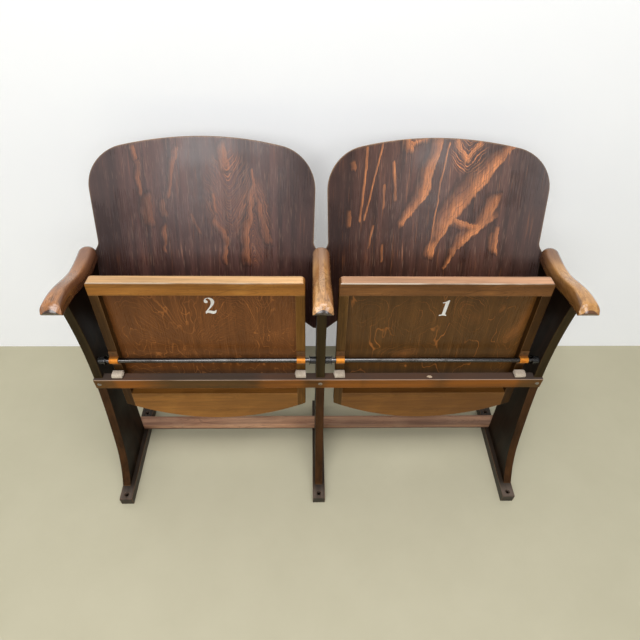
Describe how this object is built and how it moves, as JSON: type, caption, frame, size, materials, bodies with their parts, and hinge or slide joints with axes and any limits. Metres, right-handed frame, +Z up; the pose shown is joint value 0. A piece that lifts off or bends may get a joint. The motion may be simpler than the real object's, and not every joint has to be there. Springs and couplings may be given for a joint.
{
  "type": "cinema bench",
  "caption": "Wooden cinema bench with tip-up seats that turn on a steel rod between shaped side panels, bent plywood backs, scrolled armrests and floor runners.",
  "frame": {"origin": "middle of the centre foot runner's underside, on the floor", "axes": "+X along the bench to the right seen from the front, +Y to the rear, +Z up"},
  "size_m": [1.102, 0.4806, 0.8302],
  "materials": {
    "panel_wood": "dark walnut-stained beech, satin lacquer",
    "runner_wood": "very dark stained beech, worn",
    "armrest_wood": "honey-brown beech, worn satin lacquer",
    "rail_wood": "brown stained beech, worn satin lacquer",
    "stretcher_wood": "red-brown stained beech, satin",
    "back_plywood": "dark stained beech plywood, satin lacquer",
    "seat_wood": "brown stained beech, worn satin lacquer",
    "seat_plywood": "brown stained beech plywood, satin lacquer",
    "bright_steel": "drawn bright steel, lightly tarnished",
    "black_collar": "black enamel, gloss",
    "strap_brass": "yellow brass sheet, satin",
    "screw_steel": "plain steel screws, tarnished",
    "dowel_beech": "plain beech",
    "felt": "beige wool felt, rolled"
  },
  "bodies": {
    "frame": {"left_side_panel": "panel_wood", "left_foot_runner": "runner_wood", "left_armrest": "armrest_wood", "middle_side_panel": "panel_wood", "middle_foot_runner": "runner_wood", "middle_armrest": "armrest_wood", "right_side_panel": "panel_wood", "right_foot_runner": "runner_wood", "right_armrest": "armrest_wood", "front_rail": "rail_wood", "rear_stretcher": "stretcher_wood", "left_back": "back_plywood", "right_back": "back_plywood", "pivot_rod": "bright_steel", "pivot_collars": "black_collar", "pivot_washers": "bright_steel", "left_seat_left_felt_pad": "felt", "left_seat_right_felt_pad": "felt", "right_seat_left_felt_pad": "felt", "right_seat_right_felt_pad": "felt", "rail_screws": "screw_steel", "stretcher_screws": "screw_steel", "foot_screws": "screw_steel", "back_screws": "screw_steel", "armrest_dowels": "dowel_beech"},
    "left_seat": {"left_seat_front_rail": "seat_wood", "left_seat_left_rail": "seat_wood", "left_seat_right_rail": "seat_wood", "left_seat_rear_rail": "seat_wood", "left_seat_board": "seat_plywood", "left_seat_straps": "strap_brass", "left_seat_strap_screws": "screw_steel"},
    "right_seat": {"right_seat_front_rail": "seat_wood", "right_seat_left_rail": "seat_wood", "right_seat_right_rail": "seat_wood", "right_seat_rear_rail": "seat_wood", "right_seat_board": "seat_plywood", "right_seat_straps": "strap_brass", "right_seat_strap_screws": "screw_steel"}
  },
  "joints": [
    {"name": "left_seat_hinge", "type": "hinge", "parent": "frame", "child": "left_seat", "pos_m": [-0.265, -0.009, 0.436], "axis": [1, 0, 0], "range_deg": [0, 87]},
    {"name": "right_seat_hinge", "type": "hinge", "parent": "frame", "child": "right_seat", "pos_m": [0.265, -0.009, 0.436], "axis": [1, 0, 0], "range_deg": [0, 87]}
  ]
}
